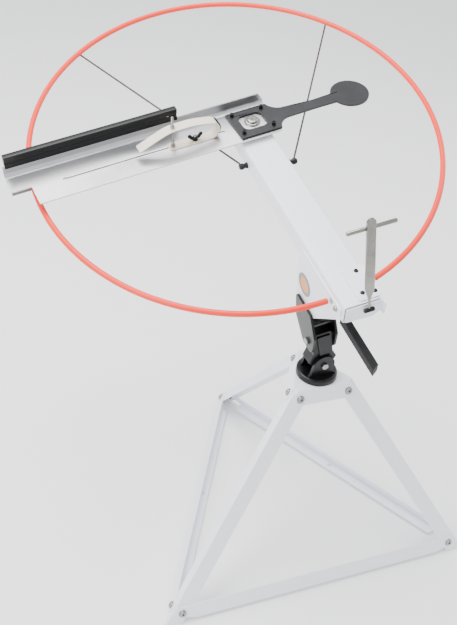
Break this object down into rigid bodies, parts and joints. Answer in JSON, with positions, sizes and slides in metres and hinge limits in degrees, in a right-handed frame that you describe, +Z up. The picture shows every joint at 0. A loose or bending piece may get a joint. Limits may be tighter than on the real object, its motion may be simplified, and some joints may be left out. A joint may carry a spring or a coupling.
{
  "type": "clay target thrower",
  "caption": "Hand-cocked clay target thrower: throwing arm on a box-section head, guard ring, two-way swivel and folded-steel tripod.",
  "frame": {"origin": "on the floor, below the centre of the bounding box as stored", "axes": "+Z up; -Y towards the operator end of the head, +Y the throwing direction, -X the side the cocked arm points to"},
  "size_m": [1.0272, 1.2088, 1.0139],
  "materials": {
    "white_powder": "white powder coat, fine orange peel",
    "orange_powder": "orange powder coat",
    "black_paint": "black satin paint",
    "dark_plate": "dark grey satin coat",
    "aluminium": "lightly brushed",
    "zinc": "bright zinc plate",
    "black_oxide": "black oxide",
    "cream_plastic": "cream, matte",
    "black_rubber": "fine-textured black rubber"
  },
  "bodies": {
    "tripod": {"tripod_cap": "white_powder", "leg_near": "white_powder", "leg_right": "white_powder", "leg_back": "white_powder", "brace_front": "white_powder", "brace_left": "white_powder", "brace_right": "white_powder", "cap_bolt_front_a": "zinc", "cap_bolt_front_b": "zinc", "cap_bolt_left_a": "zinc", "cap_bolt_left_b": "zinc", "cap_bolt_right_a": "zinc", "cap_bolt_right_b": "zinc", "foot_bolt_front_a": "zinc", "foot_bolt_front_b": "zinc", "foot_bolt_left_a": "zinc", "foot_bolt_left_b": "zinc", "foot_bolt_right_a": "zinc", "foot_bolt_right_b": "zinc"},
    "swivel_turntable": {"swivel_base": "black_paint", "cant_bolt": "zinc"},
    "swivel_knuckle": {"swivel_post": "black_paint", "tilt_bolt": "zinc"},
    "head": {"tilt_bracket": "black_paint", "gusset_left": "white_powder", "gusset_right": "white_powder", "main_tube": "white_powder", "near_plate": "white_powder", "front_bracket": "white_powder", "trigger_foot": "black_oxide", "lever_pivot_bolt": "zinc", "ring": "orange_powder", "ring_stud_left": "zinc", "ring_stud_right": "zinc", "gusset_bolt": "zinc", "rod_left": "zinc", "rod_right": "zinc", "rod_knob_left": "black_oxide", "rod_knob_right": "black_oxide", "arm_bearing": "zinc"},
    "trigger": {"trigger_bar": "zinc", "trigger_cross_pin": "zinc"},
    "lever": {"lever_bar": "black_oxide", "lever_grip": "black_rubber"},
    "arm": {"arm_channel": "aluminium", "arm_rail": "black_paint", "counterweight": "dark_plate", "hub_flange": "zinc", "arm_spindle": "zinc", "weight_bolt_1": "black_oxide", "weight_bolt_2": "black_oxide", "weight_bolt_3": "black_oxide", "weight_bolt_4": "black_oxide"},
    "clamp": {"clamp_leaf": "cream_plastic", "leaf_clip": "black_rubber", "clamp_post": "zinc", "post_nut": "zinc", "clamp_bolt": "zinc"},
    "clamp_wing_nut": {"wing_nut": "black_oxide"}
  },
  "joints": [
    {"name": "swivel_azimuth", "type": "hinge", "parent": "tripod", "child": "swivel_turntable", "pos_m": [0.10672, -0.36961, 0.4868], "axis": [0, 0, 1], "continuous": true},
    {"name": "swivel_cant", "type": "hinge", "parent": "swivel_turntable", "child": "swivel_knuckle", "pos_m": [0.10672, -0.36961, 0.53], "axis": [0.0108, -0.9999, 0], "range_deg": [-20, 10]},
    {"name": "swivel_tilt", "type": "hinge", "parent": "swivel_knuckle", "child": "head", "pos_m": [0.09473, -0.36974, 0.59592], "axis": [0.9838, 0.0106, 0.179], "range_deg": [-10, 20]},
    {"name": "arm_spin", "type": "hinge", "parent": "head", "child": "arm", "pos_m": [0.06249, 0.05476, 0.90994], "axis": [-0.1742, -0.1798, 0.9682], "range_deg": [-260, 75]},
    {"name": "clamp_slide", "type": "slide", "parent": "arm", "child": "clamp", "axis": [-0.9789, -0.075, -0.19], "range_m": [-0.03, 0.24]},
    {"name": "wing_nut_turn", "type": "hinge", "parent": "clamp", "child": "clamp_wing_nut", "pos_m": [-0.08222, 0.03839, 0.88304], "axis": [-0.1742, -0.1798, 0.9682], "continuous": true},
    {"name": "trigger_pull", "type": "hinge", "parent": "head", "child": "trigger", "pos_m": [0.09537, -0.51704, 0.78279], "axis": [0.9838, 0.0106, 0.179], "range_deg": [0, 15], "stiffness_Nm_per_rad": 1.2, "springref_deg": -20.05},
    {"name": "lever_press", "type": "hinge", "parent": "head", "child": "lever", "pos_m": [0.08672, -0.418, 0.71545], "axis": [0.9838, 0.0106, 0.179], "range_deg": [0, 20]}
  ]
}
